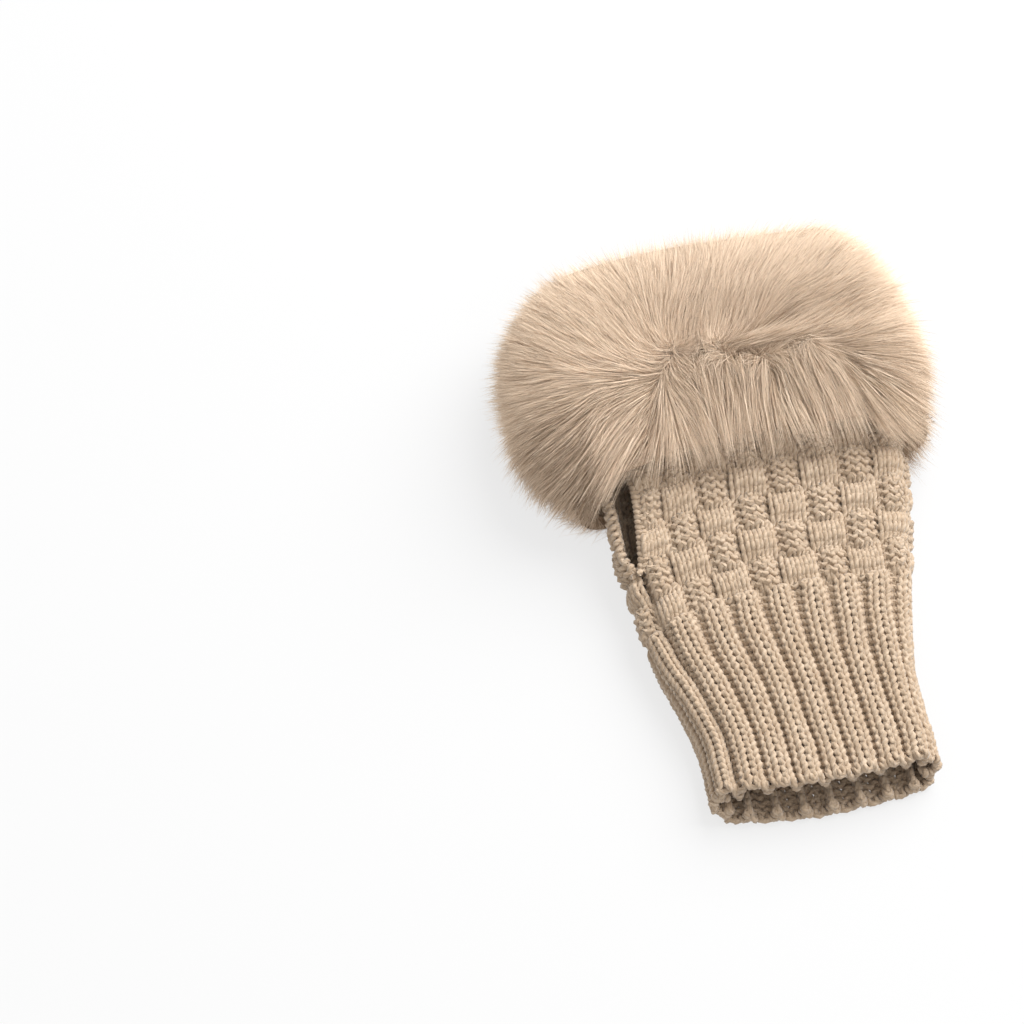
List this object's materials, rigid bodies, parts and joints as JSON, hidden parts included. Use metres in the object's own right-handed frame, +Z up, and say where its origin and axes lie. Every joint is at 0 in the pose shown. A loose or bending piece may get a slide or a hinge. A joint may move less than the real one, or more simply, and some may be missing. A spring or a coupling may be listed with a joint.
{
  "type": "knit fingerless glove with fur cuff",
  "caption": "Fingerless glove: ribbed wrist and basket-weave hand in one thick knitted tube, with a thumb slit at one side and a deep fur cuff round the finger end.",
  "frame": {"origin": "middle of the glove's box, on the surface that it lies on", "axes": "+Y from the wrist to the fingers, +X to the right seen from above with the thumb slit on the left, +Z up"},
  "size_m": [0.1438, 0.206, 0.0499],
  "materials": {
    "knitting": "plied acrylic yarn, ribbed and basket-weave knit",
    "fur": "long soft faux fur pile"
  },
  "bodies": {
    "root": {"knit_hand_and_wrist": "knitting", "fur_cuff": "fur"}
  },
  "joints": []
}
